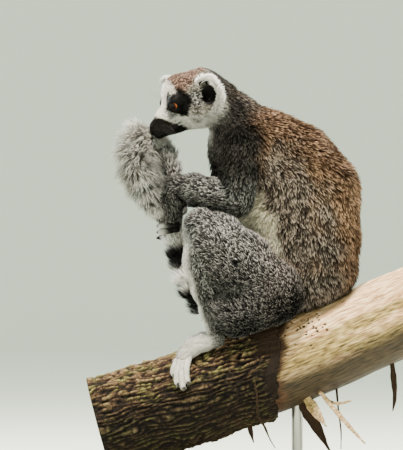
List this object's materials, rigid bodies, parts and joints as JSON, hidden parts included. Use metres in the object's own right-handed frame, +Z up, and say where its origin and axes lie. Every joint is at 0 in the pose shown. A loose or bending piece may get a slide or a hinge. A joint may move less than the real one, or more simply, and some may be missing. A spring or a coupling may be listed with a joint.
{
  "type": "ring-tailed lemur display model",
  "caption": "Life-size still model of a seated ring-tailed lemur holding its tail to its mouth, on a short length of branch carried by a plain display stand.",
  "frame": {"origin": "middle of the underside of the stand's base", "axes": "+Z up; the animal faces -X and its left side is -Y, so the branch lies along X and rises towards +X"},
  "size_m": [0.3875, 0.176, 0.4718],
  "materials": {
    "coat": "fur: grey limbs, rufous-brown back, white face, black rings on the tail",
    "eye": "wet gloss over an orange iris and a dark pupil",
    "skin": "bare black skin of nose, eyelids, palms and soles",
    "bark": "furrowed grey-brown bark with olive moss",
    "bare_wood": "weathered bare wood with fine grain",
    "stand_wood": "dark stained, satin lacquer",
    "stand_metal": "brushed"
  },
  "bodies": {
    "root": {"stand_base": "stand_wood", "stand_rod_front": "stand_metal", "stand_rod_back": "stand_metal", "perch_wood": "bare_wood", "perch_bark": "bark", "eye_left": "eye", "eye_right": "eye", "head": "coat", "trunk": "coat", "neck": "coat", "thigh_left": "coat", "upper_arm_left": "coat", "hand_left": "coat", "foot_left": "coat", "forearm_left": "coat", "shank_left": "coat", "thigh_right": "coat", "upper_arm_right": "coat", "hand_right": "coat", "foot_right": "coat", "forearm_right": "coat", "shank_right": "coat", "ear_left": "coat", "ear_right": "coat", "tail_root": "coat", "tail_front": "coat", "tail_held": "coat", "tail_bend": "coat", "tail_tip": "coat"}
  },
  "joints": []
}
